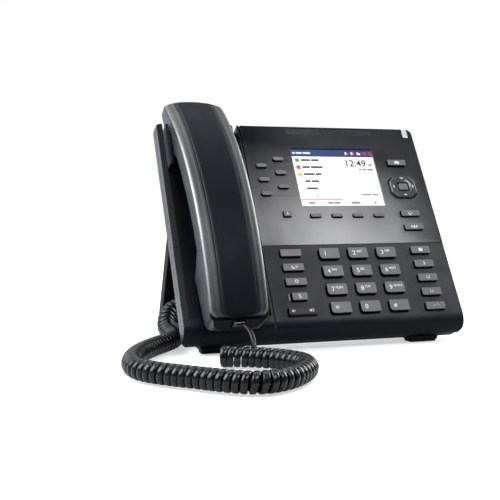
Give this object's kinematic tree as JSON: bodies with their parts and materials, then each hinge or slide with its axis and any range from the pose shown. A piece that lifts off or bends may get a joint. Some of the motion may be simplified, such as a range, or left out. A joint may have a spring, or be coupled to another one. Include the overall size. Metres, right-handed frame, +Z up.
{
  "type": "desk ip phone",
  "caption": "Desk telephone with a colour display, key panel, navigation ring, corded handset in a side cradle and a two-legged tilt stand.",
  "frame": {"origin": "on the desk, midway between the housing's side walls and straight below the display's centre", "axes": "+Z up, +X to the user's right, -Y towards the user; the face is tilted 58.5 degrees above the desk about X"},
  "size_m": [0.2684, 0.2712, 0.1852],
  "materials": {
    "housing": "fine matt texture, charcoal",
    "rear_shell": "fine matt texture, near black",
    "handset": "satin, charcoal",
    "keys": "satin painted grey",
    "rocker": "gloss dark grey",
    "nav_gloss": "gloss grey",
    "inner_plastic": "plain",
    "jacks": "plain",
    "screws": "zinc plated",
    "window": "clear",
    "display": "lit colour display",
    "plate": "satin dark strip",
    "lenses": "frosted light guides",
    "silicone": "silicone",
    "board": "solder resist",
    "speaker": "black frame and cone",
    "capsule": "plain",
    "plug": "dark translucent",
    "stand": "fine matt texture",
    "rubber": "matt",
    "cord": "smooth gloss black"
  },
  "bodies": {
    "root": {"upper_housing": "housing", "rear_housing": "rear_shell", "rear_jacks": "jacks", "housing_screws": "screws", "display_window": "window", "display_module": "display", "name_plate": "plate", "lamp_lenses": "lenses", "keypad_mat": "silicone", "main_board": "board", "loudspeaker": "speaker", "base_plug": "plug", "stand_legs": "stand", "rubber_feet": "rubber", "coiled_cord": "cord"},
    "handset": {"handset_outer_shell": "handset", "handset_inner_shell": "handset", "handset_receiver": "capsule", "handset_microphone": "capsule", "handset_plug": "plug"},
    "hook_lever": {"hook_lever": "inner_plastic"},
    "volume_rocker": {"volume_rocker": "rocker"},
    "nav_gimbal": {"nav_gimbal": "inner_plastic"},
    "nav_ring": {"nav_ring": "nav_gloss"},
    "nav_select": {"nav_select": "keys"},
    "key_1": {"key_1": "keys"},
    "key_2": {"key_2": "keys"},
    "key_3": {"key_3": "keys"},
    "key_4": {"key_4": "keys"},
    "key_5": {"key_5": "keys"},
    "key_6": {"key_6": "keys"},
    "key_7": {"key_7": "keys"},
    "key_8": {"key_8": "keys"},
    "key_9": {"key_9": "keys"},
    "key_star": {"key_star": "keys"},
    "key_0": {"key_0": "keys"},
    "key_hash": {"key_hash": "keys"},
    "key_end_call": {"key_end_call": "keys"},
    "key_redial": {"key_redial": "keys"},
    "key_options": {"key_options": "keys"},
    "key_mute": {"key_mute": "keys"},
    "key_callers": {"key_callers": "keys"},
    "key_hold": {"key_hold": "keys"},
    "key_line_2": {"key_line_2": "keys"},
    "key_line_1": {"key_line_1": "keys"},
    "key_speaker": {"key_speaker": "keys"},
    "key_directory": {"key_directory": "keys"},
    "key_transfer": {"key_transfer": "keys"},
    "key_conference": {"key_conference": "keys"},
    "key_feature_1": {"key_feature_1": "keys"},
    "key_feature_2": {"key_feature_2": "keys"},
    "key_feature_3": {"key_feature_3": "keys"},
    "key_feature_4": {"key_feature_4": "keys"},
    "key_feature_5": {"key_feature_5": "keys"},
    "key_feature_6": {"key_feature_6": "keys"},
    "key_presence": {"key_presence": "keys"},
    "key_soft_1": {"key_soft_1": "keys"},
    "key_soft_2": {"key_soft_2": "keys"},
    "key_soft_3": {"key_soft_3": "keys"},
    "key_soft_4": {"key_soft_4": "keys"}
  },
  "joints": [
    {"name": "handset_lift", "type": "slide", "parent": "root", "child": "handset", "axis": [0, -0.8526, 0.5225], "range_m": [0, 0.08]},
    {"name": "hook_rise", "type": "slide", "parent": "root", "child": "hook_lever", "axis": [0, -0.8526, 0.5225], "range_m": [0, 0.0035]},
    {"name": "volume_tip", "type": "hinge", "parent": "root", "child": "volume_rocker", "pos_m": [-0.0177, -0.05688, 0.02518], "axis": [0, 0.5225, 0.8526], "range_deg": [-2.5, 2.5]},
    {"name": "nav_left_right", "type": "hinge", "parent": "root", "child": "nav_gimbal", "pos_m": [0.089, -0.00072, 0.11298], "axis": [0, 0.5225, 0.8526], "range_deg": [-2, 2]},
    {"name": "nav_up_down", "type": "hinge", "parent": "nav_gimbal", "child": "nav_ring", "pos_m": [0.089, -0.002, 0.11377], "axis": [1, 0, 0], "range_deg": [-2, 2]},
    {"name": "nav_select_press", "type": "slide", "parent": "root", "child": "nav_select", "axis": [0, 0.8526, -0.5225], "range_m": [0, 0.0012]},
    {"name": "key_1_press", "type": "slide", "parent": "root", "child": "key_1", "axis": [0, 0.8526, -0.5225], "range_m": [0, 0.0012]},
    {"name": "key_2_press", "type": "slide", "parent": "root", "child": "key_2", "axis": [0, 0.8526, -0.5225], "range_m": [0, 0.0012]},
    {"name": "key_3_press", "type": "slide", "parent": "root", "child": "key_3", "axis": [0, 0.8526, -0.5225], "range_m": [0, 0.0012]},
    {"name": "key_4_press", "type": "slide", "parent": "root", "child": "key_4", "axis": [0, 0.8526, -0.5225], "range_m": [0, 0.0012]},
    {"name": "key_5_press", "type": "slide", "parent": "root", "child": "key_5", "axis": [0, 0.8526, -0.5225], "range_m": [0, 0.0012]},
    {"name": "key_6_press", "type": "slide", "parent": "root", "child": "key_6", "axis": [0, 0.8526, -0.5225], "range_m": [0, 0.0012]},
    {"name": "key_7_press", "type": "slide", "parent": "root", "child": "key_7", "axis": [0, 0.8526, -0.5225], "range_m": [0, 0.0012]},
    {"name": "key_8_press", "type": "slide", "parent": "root", "child": "key_8", "axis": [0, 0.8526, -0.5225], "range_m": [0, 0.0012]},
    {"name": "key_9_press", "type": "slide", "parent": "root", "child": "key_9", "axis": [0, 0.8526, -0.5225], "range_m": [0, 0.0012]},
    {"name": "key_star_press", "type": "slide", "parent": "root", "child": "key_star", "axis": [0, 0.8526, -0.5225], "range_m": [0, 0.0012]},
    {"name": "key_0_press", "type": "slide", "parent": "root", "child": "key_0", "axis": [0, 0.8526, -0.5225], "range_m": [0, 0.0012]},
    {"name": "key_hash_press", "type": "slide", "parent": "root", "child": "key_hash", "axis": [0, 0.8526, -0.5225], "range_m": [0, 0.0012]},
    {"name": "key_end_call_press", "type": "slide", "parent": "root", "child": "key_end_call", "axis": [0, 0.8526, -0.5225], "range_m": [0, 0.0012]},
    {"name": "key_redial_press", "type": "slide", "parent": "root", "child": "key_redial", "axis": [0, 0.8526, -0.5225], "range_m": [0, 0.0012]},
    {"name": "key_options_press", "type": "slide", "parent": "root", "child": "key_options", "axis": [0, 0.8526, -0.5225], "range_m": [0, 0.0012]},
    {"name": "key_mute_press", "type": "slide", "parent": "root", "child": "key_mute", "axis": [0, 0.8526, -0.5225], "range_m": [0, 0.0012]},
    {"name": "key_callers_press", "type": "slide", "parent": "root", "child": "key_callers", "axis": [0, 0.8526, -0.5225], "range_m": [0, 0.0012]},
    {"name": "key_hold_press", "type": "slide", "parent": "root", "child": "key_hold", "axis": [0, 0.8526, -0.5225], "range_m": [0, 0.0012]},
    {"name": "key_line_2_press", "type": "slide", "parent": "root", "child": "key_line_2", "axis": [0, 0.8526, -0.5225], "range_m": [0, 0.0012]},
    {"name": "key_line_1_press", "type": "slide", "parent": "root", "child": "key_line_1", "axis": [0, 0.8526, -0.5225], "range_m": [0, 0.0012]},
    {"name": "key_speaker_press", "type": "slide", "parent": "root", "child": "key_speaker", "axis": [0, 0.8526, -0.5225], "range_m": [0, 0.0012]},
    {"name": "key_directory_press", "type": "slide", "parent": "root", "child": "key_directory", "axis": [0, 0.8526, -0.5225], "range_m": [0, 0.0012]},
    {"name": "key_transfer_press", "type": "slide", "parent": "root", "child": "key_transfer", "axis": [0, 0.8526, -0.5225], "range_m": [0, 0.0012]},
    {"name": "key_conference_press", "type": "slide", "parent": "root", "child": "key_conference", "axis": [0, 0.8526, -0.5225], "range_m": [0, 0.0012]},
    {"name": "key_feature_1_press", "type": "slide", "parent": "root", "child": "key_feature_1", "axis": [0, 0.8526, -0.5225], "range_m": [0, 0.0012]},
    {"name": "key_feature_2_press", "type": "slide", "parent": "root", "child": "key_feature_2", "axis": [0, 0.8526, -0.5225], "range_m": [0, 0.0012]},
    {"name": "key_feature_3_press", "type": "slide", "parent": "root", "child": "key_feature_3", "axis": [0, 0.8526, -0.5225], "range_m": [0, 0.0012]},
    {"name": "key_feature_4_press", "type": "slide", "parent": "root", "child": "key_feature_4", "axis": [0, 0.8526, -0.5225], "range_m": [0, 0.0012]},
    {"name": "key_feature_5_press", "type": "slide", "parent": "root", "child": "key_feature_5", "axis": [0, 0.8526, -0.5225], "range_m": [0, 0.0012]},
    {"name": "key_feature_6_press", "type": "slide", "parent": "root", "child": "key_feature_6", "axis": [0, 0.8526, -0.5225], "range_m": [0, 0.0012]},
    {"name": "key_presence_press", "type": "slide", "parent": "root", "child": "key_presence", "axis": [0, 0.8526, -0.5225], "range_m": [0, 0.0012]},
    {"name": "key_soft_1_press", "type": "slide", "parent": "root", "child": "key_soft_1", "axis": [0, 0.8526, -0.5225], "range_m": [0, 0.0012]},
    {"name": "key_soft_2_press", "type": "slide", "parent": "root", "child": "key_soft_2", "axis": [0, 0.8526, -0.5225], "range_m": [0, 0.0012]},
    {"name": "key_soft_3_press", "type": "slide", "parent": "root", "child": "key_soft_3", "axis": [0, 0.8526, -0.5225], "range_m": [0, 0.0012]},
    {"name": "key_soft_4_press", "type": "slide", "parent": "root", "child": "key_soft_4", "axis": [0, 0.8526, -0.5225], "range_m": [0, 0.0012]}
  ],
  "couplings": [
    {"joint": "hook_rise", "follows": "handset_lift", "ratio": 0.04375}
  ]
}
